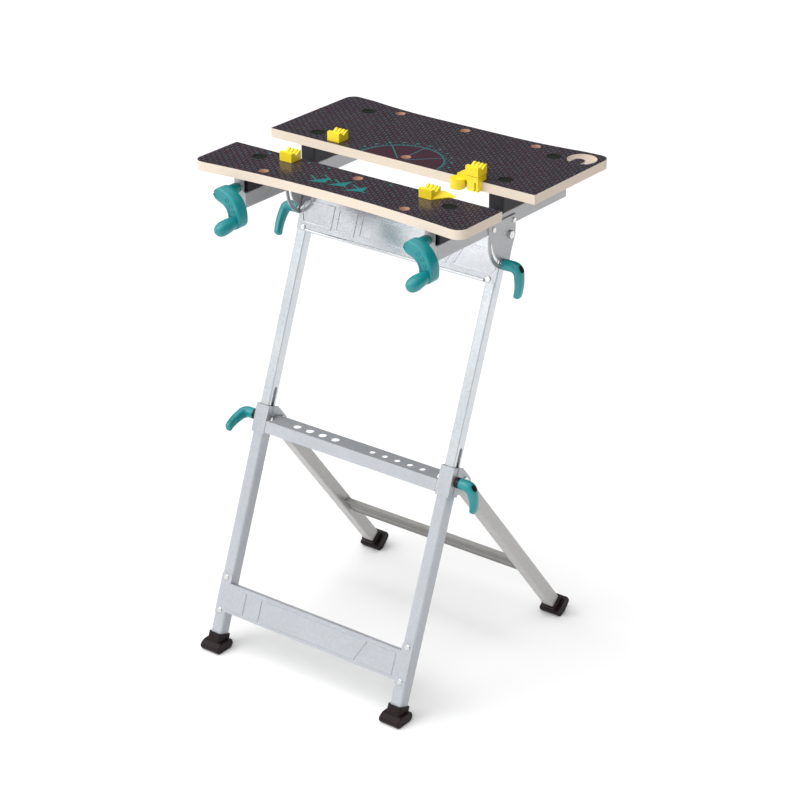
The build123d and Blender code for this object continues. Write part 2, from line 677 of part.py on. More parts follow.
def lever(name, sgn, hub, delta, bore, x0):
    """Teal lever: boss along X out to the knee, then a flat arm hanging at delta degrees
    from straight down, measured towards the back."""
    d = (sin(radians(delta)), -cos(radians(delta)))
    n = (-d[1], d[0])
    la, r0, r1 = 62.0, 11.0, 9.0
    tip = (hub[0] + la * d[0], hub[1] + la * d[1])
    with BuildPart() as lv:
        with BuildSketch(side(sgn * 271.0)):
            with Locations(hub):
                Circle(r0)
            with Locations(tip):
                Circle(r1)
            with BuildLine():
                Polyline((hub[0] + r0 * n[0], hub[1] + r0 * n[1]), (tip[0] + r1 * n[0], tip[1] + r1 * n[1]),
                         (tip[0] - r1 * n[0], tip[1] - r1 * n[1]), (hub[0] - r0 * n[0], hub[1] - r0 * n[1]),
                         (hub[0] + r0 * n[0], hub[1] + r0 * n[1]))
            make_face()
        extrude(amount=sgn * 13.5)
        fillet(lv.edges().group_by(Axis.X)[-1 if sgn > 0 else 0], 4.5)
        with BuildSketch(side(sgn * x0)):
            with Locations(hub):
                Circle(r0)
        extrude(amount=sgn * (272.0 - x0))
        with BuildSketch(side(sgn * x0)):
            with Locations(hub):
                Circle(bore)
        extrude(amount=sgn * (267.0 - x0), mode=Mode.SUBTRACT)
    save(lv.part, name)


lever("right_tilt_lever", 1, tb, 5.0, 3.05, 243.0)
lever("left_tilt_lever", -1, tb, -34.0, 3.05, 243.0)
lever("right_height_lever", 1, cl, 14.5, 4.05, 252.0)
lever("left_height_lever", -1, cl, -77.0, 4.05, 252.0)
for sgn, nm in ((-1, "left"), (1, "right")):
    with BuildPart() as washer:
        with BuildSketch(side(sgn * 242.7)):
            with Locations(cl):
                Circle(10.5)
                Circle(4.05, mode=Mode.SUBTRACT)
        extrude(amount=sgn * 9.2)
    save(washer.part, nm + "_height_washer")
    with BuildPart() as washer:
        with BuildSketch(side(sgn * 241.3)):
            with Locations(tb):
                Circle(9.0)
                Circle(3.05, mode=Mode.SUBTRACT)
        extrude(amount=sgn * 1.6)
    save(washer.part, nm + "_tilt_washer")

# ---------------------------------------------------------------- bench jaws
peg_r = hole_r - 0.07
peg_z0 = top_z - board_t + 1.5
jaw_w, jaw_d, jaw_h = 28.5, 29.0, 18.5
stop_top = top_z + 12.0
jaw_spots = (("rear_left_jaw", -jaw_x, jaw_rear_y, -jaw_x, jaw_rear_y, top_z + 0.4),
             ("front_left_jaw", -jaw_x, jaw_front_y, -jaw_x, jaw_front_y, top_z + 0.4),
             ("front_right_jaw", jaw_x, jaw_front_y, jaw_x, jaw_front_y, top_z + 0.4),
             ("rear_right_jaw", jaw_x, jaw_rear_y, 179.0, -5.5, stop_top))
for name, hx, hy, cx, cy, z0 in jaw_spots:
    y0, x0 = cy - jaw_d / 2, cx - jaw_w / 2
    with BuildPart() as jaw:
        if name == "front_right_jaw":
            # wedge-shaped tongue beside the block
            with BuildSketch(flat(z0)):
                with BuildLine():
                    Polyline((cx + 4, y0 + 0.5), (cx + 13.5, y0 + 0.5), (cx + 32.5, y0 + 29.0), (cx + 40.0, y0 + 33.0),
                             (cx + 41.0, y0 + 40.0), (cx + 12.0, y0 + 38.0), (cx + 4, y0 + 27), (cx + 4, y0 + 0.5))
                make_face()
            extrude(amount=7.0)
            a = Vector(cx + 13.5, frame_y + y0 + 0.5, frame_z + z0 + 1.6)
            b = Vector(cx + 32.5, frame_y + y0 + 29.0, frame_z + z0 + 1.6)
            c = Vector(cx + 13.5, frame_y + y0 + 27.5, frame_z + z0 + 7.0)
            split(bisect_by=Plane(origin=a, x_dir=(b - a).normalized(), z_dir=(b - a).cross(c - a).normalized()),
                  keep=Keep.BOTTOM)
        # block with a V across the top for round stock
        with BuildSketch(side(x0)):
            with BuildLine():
                Polyline((y0, z0), (y0, z0 + jaw_h - 1.2), (y0 + 6.6, z0 + jaw_h), (y0 + 14.5, z0 + 11.5),
                         (y0 + 25.5, z0 + jaw_h), (y0 + jaw_d, z0 + jaw_h), (y0 + jaw_d, z0), (y0, z0))
            make_face()
        extrude(amount=jaw_w)
        # three flutes up the rear slope
        for dx in (-7.4, 1.1, 9.6):
            with BuildSketch(side(cx + dx - 1.9)):
                with BuildLine():
                    Polyline((y0 + 16.4, z0 + 12.7), (y0 + 18.0, z0 + 10.6), (y0 + 25.8, z0 + 15.2),
                             (y0 + jaw_d + 1, z0 + 15.2), (y0 + jaw_d + 1, z0 + 25), (y0 + 16.4, z0 + 25),
                             (y0 + 16.4, z0 + 12.7))
                make_face()
            extrude(amount=3.8, mode=Mode.SUBTRACT)
        if name != "rear_right_jaw":
            with BuildSketch(flat(peg_z0)):
                with Locations((hx, hy)):
                    Circle(peg_r)
            extrude(amount=z0 + 2.0 - peg_z0)
    save(jaw.part, name)

# rear right: a stop plugged into the board reaches over its front edge and carries the jaw
with BuildPart() as stop:
    z0 = top_z + 0.4
    with BuildSketch(flat(z0)):
        with BuildLine():
            Polyline((146, -19), (150, -20), (193, -20), (193.5, -19), (193.5, 7), (191, 9), (170, 12), (150, 12),
                     (146, 4), (146, -19))
        make_face()
        with Locations((jaw_x, jaw_rear_y)):
            Circle(12.5)
    extrude(amount=stop_top - z0 - 1.2)
    # raised seat under the jaw, set back from its edges
    with BuildSketch(flat(stop_top - 2.0)):
        with Locations((179.0, -5.0)):
            Rectangle(24, 23)
    extrude(amount=2.0)
    # fingers down the front edge of the board
    with BuildSketch(front(-20.0)):
        with BuildLine():
            Polyline((168.0, z0 + 4), (170.5, 992.6), (185.4, 992.6), (185.4, z0 + 4), (168.0, z0 + 4))
        make_face()
        with Locations((191.3, (z0 + 4 + 992.6) / 2)):
            Rectangle(4.4, z0 + 4 - 992.6)
    extrude(amount=-13.0)
    # round cheek
    with BuildSketch(flat(994.0)):
        with Locations((150.0, -22.2)):
            Circle(14.8)
    extrude(amount=19.5)
    fillet(stop.edges().filter_by(GeomType.CIRCLE).filter_by(lambda e: abs(e.center().Z - frame_z - 994.0) < 0.1), 1.5)
    with BuildSketch(flat(peg_z0)):
        with Locations((jaw_x, jaw_rear_y)):
            Circle(peg_r)
    extrude(amount=z0 + 1.0 - peg_z0)
save(stop.part, "rear_right_stop")
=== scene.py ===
import bpy
import bmesh
from math import sin, cos, pi, radians, sqrt, atan2, atan
from mathutils import Vector, Matrix


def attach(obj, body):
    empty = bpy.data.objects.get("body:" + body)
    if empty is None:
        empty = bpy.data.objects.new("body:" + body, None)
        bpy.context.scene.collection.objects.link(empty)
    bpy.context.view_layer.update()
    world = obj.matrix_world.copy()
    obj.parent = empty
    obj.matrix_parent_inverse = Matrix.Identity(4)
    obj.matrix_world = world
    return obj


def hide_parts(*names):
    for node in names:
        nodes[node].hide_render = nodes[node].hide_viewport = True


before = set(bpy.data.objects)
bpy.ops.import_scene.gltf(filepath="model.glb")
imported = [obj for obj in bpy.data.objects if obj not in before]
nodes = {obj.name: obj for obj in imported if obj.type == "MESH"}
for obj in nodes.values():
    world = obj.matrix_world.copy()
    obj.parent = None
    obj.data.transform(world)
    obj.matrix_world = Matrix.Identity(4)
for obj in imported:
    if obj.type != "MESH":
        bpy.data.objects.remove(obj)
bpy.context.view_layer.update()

FY = 0.041421                     # the CAD's shifts along Y and Z, in metres
FZ = -0.010


def P(x, y, z):
    """A point given in millimetres of the CAD's driving frame."""
    return Vector((x / 1000.0, y / 1000.0 + FY, z / 1000.0 + FZ))


# ------------------------------------------------------------------ node helpers
class Tree:
    def __init__(self, name):
        self.mat = bpy.data.materials.new(name)
        self.mat.use_nodes = True
        self.nt = self.mat.node_tree
        self.nt.nodes.clear()
        self.out = self.nt.nodes.new("ShaderNodeOutputMaterial")
        self.bsdf = self.nt.nodes.new("ShaderNodeBsdfPrincipled")
        self.nt.links.new(self.bsdf.outputs[0], self.out.inputs[0])
        self.tc = self.nt.nodes.new("ShaderNodeTexCoord")
        self.obj = self.tc.outputs["Object"]
        self.nrm = self.tc.outputs["Normal"]

    def put(self, name, value):
        s = self.bsdf.inputs[name]
        if hasattr(value, "links") or hasattr(value, "is_output"):
            self.nt.links.new(value, s)
        else:
            s.default_value = value
        return self

    def _in(self, sock, v):
        if hasattr(v, "is_output"):
            self.nt.links.new(v, sock)
        elif v is not None:
            sock.default_value = v

    def math(self, op, a, b=None, c=None, clamp=False):
        n = self.nt.nodes.new("ShaderNodeMath")
        n.operation = op
        n.use_clamp = clamp
        self._in(n.inputs[0], a)
        if b is not None:
            self._in(n.inputs[1], b)
        if c is not None:
            self._in(n.inputs[2], c)
        return n.outputs[0]

    def vmath(self, op, a, b=None):
        n = self.nt.nodes.new("ShaderNodeVectorMath")
        n.operation = op
        self._in(n.inputs[0], a)
        if b is not None:
            self._in(n.inputs[1], b)
        return n.outputs["Value"] if op in ("DOT_PRODUCT", "LENGTH", "DISTANCE") else n.outputs[0]

    def xyz(self, v):
        n = self.nt.nodes.new("ShaderNodeSeparateXYZ")
        self._in(n.inputs[0], v)
        return n.outputs[0], n.outputs[1], n.outputs[2]

    def combine(self, x, y, z):
        n = self.nt.nodes.new("ShaderNodeCombineXYZ")
        for s, v in zip(n.inputs, (x, y, z)):
            self._in(s, v)
        return n.outputs[0]

    def mapping(self, v, scale=(1, 1, 1), rot=(0, 0, 0), loc=(0, 0, 0)):
        n = self.nt.nodes.new("ShaderNodeMapping")
        self._in(n.inputs["Vector"], v)
        n.inputs["Scale"].default_value = scale
        n.inputs["Rotation"].default_value = rot
        n.inputs["Location"].default_value = loc
        return n.outputs[0]

    def noise(self, v, scale, detail=3.0, rough=0.5, distortion=0.0, color=False):
        n = self.nt.nodes.new("ShaderNodeTexNoise")
        self._in(n.inputs["Vector"], v)
        n.inputs["Scale"].default_value = scale
        n.inputs["Detail"].default_value = detail
        n.inputs["Roughness"].default_value = rough
        n.inputs["Distortion"].default_value = distortion
        return n.outputs["Color"] if color else n.outputs[0]

    def voronoi(self, v, scale, feature="F1", out="Distance"):
        n = self.nt.nodes.new("ShaderNodeTexVoronoi")
        n.feature = feature
        self._in(n.inputs["Vector"], v)
        n.inputs["Scale"].default_value = scale
        return n.outputs[out]

    def ramp(self, fac, stops, interp="LINEAR"):
        n = self.nt.nodes.new("ShaderNodeValToRGB")
        n.color_ramp.interpolation = interp
        e = n.color_ramp.elements
        while len(e) < len(stops):
            e.new(0.5)
        for el, (p, c) in zip(e, stops):
            el.position = p
            el.color = (c[0], c[1], c[2], 1.0) if len(c) == 3 else c
        self._in(n.inputs[0], fac)
        return n.outputs[0]

    def maprange(self, v, a, b, c=0.0, d=1.0, smooth=False):
        n = self.nt.nodes.new("ShaderNodeMapRange")
        if smooth:
            n.interpolation_type = "SMOOTHSTEP"
        self._in(n.inputs[0], v)
        for i, x in enumerate((a, b, c, d)):
            n.inputs[i + 1].default_value = x
        return n.outputs[0]

    def mix(self, fac, a, b, blend="MIX"):
        n = self.nt.nodes.new("ShaderNodeMix")
        n.data_type = "RGBA"
        n.blend_type = blend
        self._in(n.inputs[0], fac)
        self._in(n.inputs[6], a if hasattr(a, "is_output") else (*a, 1.0))
        self._in(n.inputs[7], b if hasattr(b, "is_output") else (*b, 1.0))
        return n.outputs[2]

    def bump(self, height, strength=0.3, dist=0.001, normal=None):
        n = self.nt.nodes.new("ShaderNodeBump")
        n.inputs["Strength"].default_value = strength
        n.inputs["Distance"].default_value = dist
        self._in(n.inputs["Height"], height)
        if normal is not None:
            self.nt.links.new(normal, n.inputs["Normal"])
        return n.outputs[0]


# ------------------------------------------------------------------ materials
def sheet_steel(name, base, metal, rough, spread=0.05, grain=(1, 1, 1)):
    """Zinc-coated, thinly lacquered sheet: fine spangle, faint drawing lines and handling marks."""
    t = Tree(name)
    big = t.noise(t.obj, 9.0, 3.0, 0.55)
    fine = t.noise(t.mapping(t.obj, scale=grain), 420.0, 2.0, 0.6)
    cells = t.voronoi(t.obj, 260.0, "F1", "Color")
    cx, _, _ = t.xyz(cells)
    v = t.math("ADD", t.math("MULTIPLY", big, 0.6), t.math("MULTIPLY", cx, 0.4))
    lo = tuple(max(0.0, c * (1 - spread)) for c in base)
    hi = tuple(min(1.0, c * (1 + spread)) for c in base)
    t.put("Base Color", t.ramp(v, [(0.25, lo), (0.75, hi)]))
    t.put("Metallic", metal)
    r = t.math("ADD", t.math("MULTIPLY", big, 0.16), t.math("MULTIPLY", fine, 0.08))
    t.put("Roughness", t.math("ADD", r, rough - 0.12))
    b1 = t.bump(fine, 0.10, 0.0002)
    t.put("Normal", t.bump(big, 0.06, 0.002, b1))
    return t.mat


def moulded(name, base, rough, spread=0.10, grain=900.0, depth=0.12, coat=0.0, spec=0.5):
    """Injection-moulded plastic: eroded fine texture, slight flow streaks, rubbed patches."""
    t = Tree(name)
    big = t.noise(t.obj, 38.0, 3.0, 0.6, 0.4)
    fine = t.noise(t.obj, grain, 2.0, 0.6)
    lo = tuple(c * (1 - spread) for c in base)
    hi = tuple(min(1.0, c * (1 + spread)) for c in base)
    t.put("Base Color", t.ramp(t.math("ADD", t.math("MULTIPLY", big, 0.8), t.math("MULTIPLY", fine, 0.2)),
                               [(0.3, lo), (0.7, hi)]))
    t.put("Roughness", t.math("ADD", t.math("MULTIPLY", big, 0.14), rough - 0.07))
    t.put("Coat Weight", coat)
    t.put("Coat Roughness", 0.25)
    t.put("Specular IOR Level", spec)
    b1 = t.bump(fine, depth, 0.00015)
    t.put("Normal", t.bump(big, 0.08, 0.001, b1))
    return t.mat


m_leg = sheet_steel("leg_steel", (0.44, 0.46, 0.49), 0.42, 0.36)
m_upper = sheet_steel("upper_leg_steel", (0.62, 0.65, 0.68), 0.85, 0.22)
m_apron = sheet_steel("apron_steel", (0.58, 0.60, 0.63), 0.92, 0.18)
m_rail = sheet_steel("rail_steel", (0.42, 0.425, 0.44), 0.50, 0.36)
m_rear = sheet_steel("rear_leg_steel", (0.47, 0.46, 0.455), 0.38, 0.42)
m_strut = sheet_steel("strut_steel", (0.225, 0.22, 0.21), 0.45, 0.42, 0.09)
m_zinc = sheet_steel("zinc_bolts", (0.70, 0.70, 0.69), 1.0, 0.26, 0.08)
m_brass = sheet_steel("brass_nuts", (0.72, 0.52, 0.22), 1.0, 0.30, 0.08)
m_teal = moulded("teal_plastic", (0.0015, 0.235, 0.255), 0.33, 0.10, 700.0, 0.10, 0.15)
m_yellow = moulded("yellow_plastic", (0.93, 0.70, 0.015), 0.38, 0.06, 900.0, 0.10, 0.1)
m_black = moulded("black_plastic", (0.010, 0.009, 0.013), 0.42, 0.25, 800.0, 0.18, 0.0, 0.28)
m_foot = moulded("foot_plastic", (0.010, 0.0035, 0.0045), 0.50, 0.25, 700.0, 0.25, 0.0, 0.22)
m_cap = moulded("cap_plastic", (0.006, 0.011, 0.006), 0.50, 0.25, 700.0, 0.15, 0.0, 0.20)


def board_material(name, features):
    """Film faced plywood. Top: dark film printed with rows of small waves. Edges: pale plies."""
    t = Tree(name)
    x, y, z = t.xyz(t.obj)
    xm = t.math("MULTIPLY", x, 1000.0)
    ym = t.math("MULTIPLY", t.math("SUBTRACT", y, FY), 1000.0)
    zm = t.math("MULTIPLY", t.math("SUBTRACT", z, FZ), 1000.0)
    nx, ny, nz = t.xyz(t.nrm)
    top = t.math("GREATER_THAN", nz, 0.7)
    under = t.math("LESS_THAN", nz, -0.7)

    # printed waves: chains of half circles running diagonally, neighbours out of step
    px, py = 10.4, 12.5
    along = t.math("SUBTRACT", t.math("MULTIPLY", xm, 0.77), t.math("MULTIPLY", ym, 0.638))
    cross = t.math("ADD", t.math("MULTIPLY", xm, 0.638), t.math("MULTIPLY", ym, 0.77))
    col = t.math("DIVIDE", cross, px)
    ci = t.math("FLOOR", col)
    u = t.math("SUBTRACT", t.math("SUBTRACT", col, ci), 0.5)
    phase = t.math("MULTIPLY", ci, 1.9)
    w = t.math("SINE", t.math("ADD", t.math("MULTIPLY", along, 2 * pi / py), phase))
    d = t.math("ABSOLUTE", t.math("SUBTRACT", t.math("MULTIPLY", u, px), t.math("MULTIPLY", w, 2.9)))
    wave = t.maprange(d, 0.7, 1.5, 1.0, 0.0, True)
    wear = t.noise(t.obj, 110.0, 3.0, 0.6)
    wave = t.math("MULTIPLY", wave, t.maprange(wear, 0.30, 0.58, 0.35, 1.0))

    film_n = t.noise(t.obj, 14.0, 4.0, 0.6)
    film = t.ramp(film_n, [(0.3, (0.032, 0.0085, 0.0165)), (0.7, (0.046, 0.0130, 0.0245))])
    teal = t.ramp(wear, [(0.3, (0.030, 0.090, 0.100)), (0.75, (0.038, 0.160, 0.165))])
    inside = None
    line = None
    hole_wall_painted_shade = None
    pockets = None
    for f in features:
        kind = f[0]
        if kind == "disc":          # plain printed disc with an outline: cx, cy, r, line width
            _, cx, cy, r, lw = f
            dist = t.math("SQRT", t.math("ADD", t.math("POWER", t.math("SUBTRACT", xm, cx), 2.0),
                                         t.math("POWER", t.math("SUBTRACT", ym, cy), 2.0)))
            ins = t.math("LESS_THAN", dist, r)
            ring = t.maprange(t.math("ABSOLUTE", t.math("SUBTRACT", dist, r)), lw * 0.5, lw * 0.5 + 0.5, 1.0, 0.0)
            inside = ins if inside is None else t.math("MAXIMUM", inside, ins)
            line = ring if line is None else t.math("MAXIMUM", line, ring)
        elif kind == "seg":         # straight printed line: x0, y0, x1, y1, width
            _, x0, y0, x1, y1, lw = f
            L = sqrt((x1 - x0) ** 2 + (y1 - y0) ** 2)
            ux, uy = (x1 - x0) / L, (y1 - y0) / L
            a = t.math("ADD", t.math("MULTIPLY", t.math("SUBTRACT", xm, x0), ux),
                       t.math("MULTIPLY", t.math("SUBTRACT", ym, y0), uy))
            b = t.math("ADD", t.math("MULTIPLY", t.math("SUBTRACT", xm, x0), -uy),
                       t.math("MULTIPLY", t.math("SUBTRACT", ym, y0), ux))
            over = t.math("MAXIMUM", t.math("ABSOLUTE", t.math("SUBTRACT", a, L / 2)), 0.0)
            s = t.math("MULTIPLY", t.math("LESS_THAN", over, L / 2),
                       t.maprange(t.math("ABSOLUTE", b), lw * 0.5, lw * 0.5 + 0.5, 1.0, 0.0))
            line = s if line is None else t.math("MAXIMUM", line, s)
        elif kind == "tri":         # filled printed triangle, corners counter-clockwise
            pts = f[1:]
            s = None
            for i in range(3):
                x0, y0 = pts[2 * i], pts[2 * i + 1]
                x1, y1 = pts[(2 * i + 2) % 6], pts[(2 * i + 3) % 6]
                L = sqrt((x1 - x0) ** 2 + (y1 - y0) ** 2)
                h = t.math("SUBTRACT", t.math("MULTIPLY", t.math("SUBTRACT", ym, y0), (x1 - x0) / L),
                           t.math("MULTIPLY", t.math("SUBTRACT", xm, x0), (y1 - y0) / L))
                g = t.maprange(h, -0.3, 0.3)
                s = g if s is None else t.math("MULTIPLY", s, g)
            line = s if line is None else t.math("MAXIMUM", line, s)
        elif kind == "dot":         # filled printed dot: cx, cy, r
            _, cx, cy, r = f
            dist = t.math("SQRT", t.math("ADD", t.math("POWER", t.math("SUBTRACT", xm, cx), 2.0),
                                         t.math("POWER", t.math("SUBTRACT", ym, cy), 2.0)))
            s = t.maprange(dist, r - 0.3, r + 0.3, 1.0, 0.0)
            line = s if line is None else t.math("MAXIMUM", line, s)
        elif kind == "pocket":      # shallow pocket of a cap, its wall coloured near black
            _, cx, cy, r = f
            dist = t.math("SQRT", t.math("ADD", t.math("POWER", t.math("SUBTRACT", xm, cx), 2.0),
                                         t.math("POWER", t.math("SUBTRACT", ym, cy), 2.0)))
            h = t.math("LESS_THAN", dist, r + 0.6)
            pockets = h if pockets is None else t.math("MAXIMUM", pockets, h)
        elif kind == "hole":        # drilled hole; its wall gets painted shade, a darker reddish brown
            _, cx, cy, r = f
            dist = t.math("SQRT", t.math("ADD", t.math("POWER", t.math("SUBTRACT", xm, cx), 2.0),
                                         t.math("POWER", t.math("SUBTRACT", ym, cy), 2.0)))
            # mask of the hole walls, which get painted shade
            h = t.math("LESS_THAN", dist, r + 0.6)
            hole_wall_painted_shade = h if hole_wall_painted_shade is None else t.math("MAXIMUM", hole_wall_painted_shade, h)
        elif kind == "ticks":       # angular scale round a centre: cx, cy, r0, r1, step in degrees, width
            _, cx, cy, r0, r1, step, lw = f
            dx, dy = t.math("SUBTRACT", xm, cx), t.math("SUBTRACT", ym, cy)
            dist = t.math("SQRT", t.math("ADD", t.math("POWER", dx, 2.0), t.math("POWER", dy, 2.0)))
            ang = t.math("DIVIDE", t.math("ARCTAN2", dy, dx), radians(step))
            fr = t.math("ABSOLUTE", t.math("SUBTRACT", ang, t.math("ROUND", ang)))
            arc = t.math("MULTIPLY", t.math("MULTIPLY", fr, radians(step)), dist)
            s = t.maprange(arc, lw * 0.5, lw * 0.5 + 0.4, 1.0, 0.0)
            s = t.math("MULTIPLY", s, t.math("MULTIPLY", t.math("GREATER_THAN", dist, r0), t.math("LESS_THAN", dist, r1)))
            line = s if line is None else t.math("MAXIMUM", line, s)
    if inside is not None:
        wave = t.math("MULTIPLY", wave, t.math("SUBTRACT", 1.0, inside))
        film = t.mix(t.math("MULTIPLY", inside, 0.7), film, (0.050, 0.017, 0.030))
    cover = wave if line is None else t.math("MAXIMUM", wave, t.math("MULTIPLY", line, 0.0))
    top_col = t.mix(cover, film, teal)
    if line is not None:
        top_col = t.mix(t.math("MULTIPLY", line, 0.85), top_col, (0.008, 0.235, 0.235))

    # plies along the edge
    ply = t.math("DIVIDE", t.math("SUBTRACT", zm, 991.5), 18.5 / 13.0)
    pi_ = t.math("FLOOR", ply)
    pf = t.math("ABSOLUTE", t.math("SUBTRACT", t.math("SUBTRACT", ply, pi_), 0.5))
    odd = t.math("MODULO", pi_, 2.0)
    fibre = t.noise(t.mapping(t.obj, scale=(60, 60, 900)), 6.0, 3.0, 0.65)
    endg = t.noise(t.obj, 650.0, 2.0, 0.6)
    tone = t.math("ADD", t.math("MULTIPLY", odd, 0.22), t.math("ADD", t.math("MULTIPLY", fibre, 0.5), t.math("MULTIPLY", endg, 0.28)))
    wood = t.ramp(tone, [(0.2, (0.76, 0.68, 0.58)), (0.55, (0.70, 0.60, 0.495)), (0.9, (0.57, 0.465, 0.365))])
    glue = t.maprange(pf, 0.42, 0.50, 0.0, 0.38)
    wood = t.mix(glue, wood, (0.45, 0.34, 0.25))
    # painted shade: the hole walls are darkened to reddish brown, standing for the shadow inside the holes
    if hole_wall_painted_shade is not None:
        wood = t.mix(t.math("MULTIPLY", hole_wall_painted_shade, 0.85), wood, (0.52, 0.27, 0.17))
    if pockets is not None:
        wood = t.mix(pockets, wood, (0.030, 0.022, 0.018))
    under_col = t.ramp(film_n, [(0.3, (0.045, 0.024, 0.018)), (0.7, (0.060, 0.034, 0.026))])
    edge = t.mix(under, wood, under_col)
    t.put("Base Color", t.mix(top, edge, top_col))
    r_top = t.math("ADD", t.math("MULTIPLY", wave, 0.06), t.math("ADD", t.math("MULTIPLY", film_n, 0.12), 0.15))
    r_edge = t.math("ADD", t.math("MULTIPLY", endg, 0.2), 0.55)
    rough = t.math("ADD", t.math("MULTIPLY", top, r_top), t.math("MULTIPLY", t.math("SUBTRACT", 1.0, top), r_edge))
    t.put("Roughness", rough)
    t.put("Specular IOR Level", 0.42)
    hgt = t.math("ADD", t.math("MULTIPLY", t.math("MULTIPLY", top, wave), 0.5),
                 t.math("MULTIPLY", t.math("SUBTRACT", 1.0, top), t.math("MULTIPLY", tone, 0.6)))
    t.put("Normal", t.bump(hgt, 0.25, 0.0003))
    return t.mat


rear_feats = [("disc", 0, -7, 87, 1.6), ("ticks", 0, -7, 88, 93, 5.0, 1.0), ("ticks", 0, -7, 100, 104.5, 15.0, 5.0),
              ("seg", -8, 3, -60, 55, 1.5), ("seg", 0, 30, 0, 79, 1.5), ("seg", 8, 3, 60, 55, 1.5)]
rear_feats += [("hole", x, y, 10.0) for x, y in ((-161.5, 217), (0, 210), (161.5, 217), (0, 18), (-162.5, 17), (162.5, 17))]
rear_feats += [("pocket", x, y, 14.5) for x, y in ((-221, 191), (221, 191), (-221, 29.6), (221, 29.6))]
front_feats = [("tri", -66, -196, -34, -184, -40, -158), ("tri", -24, -190, 6, -180, 4, -150), ("tri", 18, -196, 50, -182, 44, -156),
               ("seg", -30, -160, 12, -182, 2.4), ("seg", 14, -162, 58, -184, 2.4), ("seg", -78, -168, -44, -190, 2.4),
               ("seg", -60, -152, -30, -170, 2.0)]
front_feats += [("dot", x, y, 2.8) for x, y in ((-217, -121.6), (-124, -118.2), (-76, -119.4), (70, -121.5))]
front_feats += [("hole", x, y, 10.0) for x, y in ((-163.5, -204.5), (163.5, -204.5), (0, -130), (-162.5, -127), (162.5, -127))]
front_feats += [("pocket", x, -146.5, 14.5) for x in (-221, 221)]
m_rear_board = board_material("rear_board_film", rear_feats)
m_front_board = board_material("front_board_film", front_feats)

paint = {
    "rear_board": m_rear_board, "front_board": m_front_board,
    "rear_board_bolt_caps": m_cap, "front_board_bolt_caps": m_cap,
    "left_rail": m_rail, "right_rail": m_rail,
    "rear_board_supports": m_black, "left_carrier": m_black, "right_carrier": m_black,
    "left_spindle_nut": m_brass, "right_spindle_nut": m_brass,
    "left_spindle": m_zinc, "right_spindle": m_zinc,
    "left_crank": m_teal, "right_crank": m_teal,
    "left_swivel_plate": m_rail, "right_swivel_plate": m_rail,
    "swivel_plate_rivets": m_zinc, "tilt_pivot_bolts": m_zinc, "tilt_clamp_bolts": m_zinc,
    "left_upper_leg": m_upper, "right_upper_leg": m_upper, "apron": m_apron, "apron_screws": m_zinc,
    "left_lower_leg": m_leg, "right_lower_leg": m_leg, "left_collar": m_leg, "right_collar": m_leg,
    "middle_crossbar": m_leg, "lower_crossbar": m_leg, "crossbar_screws": m_zinc,
    "left_front_foot": m_foot, "right_front_foot": m_foot, "left_rear_foot": m_foot, "right_rear_foot": m_foot,
    "height_clamp_bolts": m_zinc, "fold_pivot_bolts": m_zinc,
    "left_height_washer": m_black, "right_height_washer": m_black,
    "left_tilt_washer": m_zinc, "right_tilt_washer": m_zinc,
    "left_rear_leg": m_rear, "right_rear_leg": m_rear, "rear_strut": m_strut,
    "left_tilt_lever": m_teal, "right_tilt_lever": m_teal, "left_height_lever": m_teal, "right_height_lever": m_teal,
    "rear_left_jaw": m_yellow, "front_left_jaw": m_yellow, "front_right_jaw": m_yellow, "rear_right_jaw": m_yellow,
    "rear_right_stop": m_yellow,
}
for name, o in nodes.items():
    m = paint[name]
    if not o.material_slots:
        o.data.materials.append(m)
    for s in o.material_slots:
        s.material = m

# ------------------------------------------------------------------ moulded cranks and levers
def build(name, shells, mat, body, stands_for=(), sharp=38.0):
    """One object of closed shells. Each shell is a list of rings of equal length, closed by a fan at both ends."""
    bm = bmesh.new()
    for rings in shells:
        loops = [[bm.verts.new(p) for p in ring] for ring in rings]
        n = len(loops[0])
        for r0, r1 in zip(loops, loops[1:]):
            for i in range(n):
                bm.faces.new((r0[i], r0[(i + 1) % n], r1[(i + 1) % n], r1[i]))
        for ring, flip in ((loops[0], True), (loops[-1], False)):
            mid = Vector((0, 0, 0))
            for v in ring:
                mid += v.co
            c = bm.verts.new(mid / n)
            for i in range(n):
                q = (ring[i], ring[(i + 1) % n], c)
                bm.faces.new(tuple(reversed(q)) if flip else q)
    bmesh.ops.recalc_face_normals(bm, faces=bm.faces)
    for fc in bm.faces:
        fc.smooth = True
    me = bpy.data.meshes.new(name)
    bm.to_mesh(me)
    bm.free()
    me.set_sharp_from_angle(angle=radians(sharp))
    me.materials.append(mat)
    o = bpy.data.objects.new(name, me)
    bpy.context.scene.collection.objects.link(o)
    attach(o, body)
    if stands_for:
        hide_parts(*stands_for)
    return o


def superellipse(n, e):
    out = []
    for i in range(n):
        a = 2 * pi * i / n
        c, s_ = cos(a), sin(a)
        out.append((abs(c) ** (2 / e) * (1 if c >= 0 else -1), abs(s_) ** (2 / e) * (1 if s_ >= 0 else -1)))
    return out


arm_shape = [(-0.78, 0.0), (-0.93, 0.04), (-1.0, 0.14), (-1.0, 0.5), (-1.0, 0.84), (-0.96, 0.93), (-0.86, 0.985), (-0.74, 1.0),
             (-0.64, 0.99), (-0.55, 0.93), (-0.3, 0.915), (0.0, 0.91), (0.3, 0.915), (0.55, 0.93), (0.64, 0.99), (0.74, 1.0),
             (0.86, 0.985), (0.96, 0.93), (1.0, 0.84), (1.0, 0.5), (1.0, 0.14), (0.93, 0.04), (0.78, 0.0), (0.4, 0.0), (0.0, 0.0),
             (-0.4, 0.0)]


